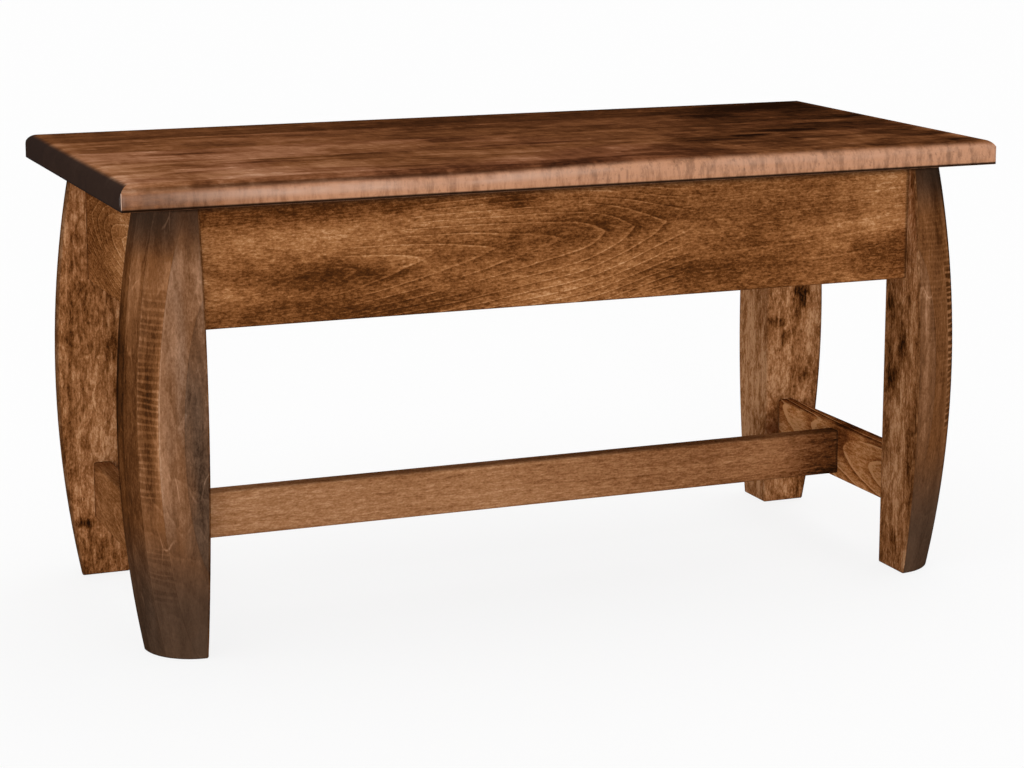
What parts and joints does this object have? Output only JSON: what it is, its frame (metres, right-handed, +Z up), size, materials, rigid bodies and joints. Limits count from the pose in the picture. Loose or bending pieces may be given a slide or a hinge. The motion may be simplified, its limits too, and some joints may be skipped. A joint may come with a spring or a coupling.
{
  "type": "bed bench",
  "caption": "Low wooden bench with a round-edged plank seat, bowed quarter-round legs, deep aprons and an H stretcher, for sitting at the end of a bed.",
  "frame": {"origin": "on the floor, under the middle of the seat", "axes": "+X along the seat, +Y from the front apron to the rear apron, +Z up"},
  "size_m": [0.908, 0.423, 0.457],
  "materials": {
    "seat_wood": "satin stain",
    "leg_wood": "satin stain",
    "apron_wood": "satin stain",
    "stretcher_wood": "satin stain",
    "block_wood": "bare planed wood",
    "steel": "zinc plated"
  },
  "bodies": {
    "root": {"seat_board_front": "seat_wood", "seat_board_front_inner": "seat_wood", "seat_board_rear_inner": "seat_wood", "seat_board_rear": "seat_wood", "leg_front_left": "leg_wood", "leg_front_right": "leg_wood", "leg_rear_left": "leg_wood", "leg_rear_right": "leg_wood", "apron_front": "apron_wood", "apron_rear": "apron_wood", "apron_left": "apron_wood", "apron_right": "apron_wood", "stretcher_left": "stretcher_wood", "stretcher_right": "stretcher_wood", "stretcher_long": "stretcher_wood", "corner_block_front_left": "block_wood", "corner_block_front_right": "block_wood", "corner_block_rear_left": "block_wood", "corner_block_rear_right": "block_wood", "leg_screws": "steel", "seat_clips": "steel", "clip_screws": "steel"}
  },
  "joints": []
}
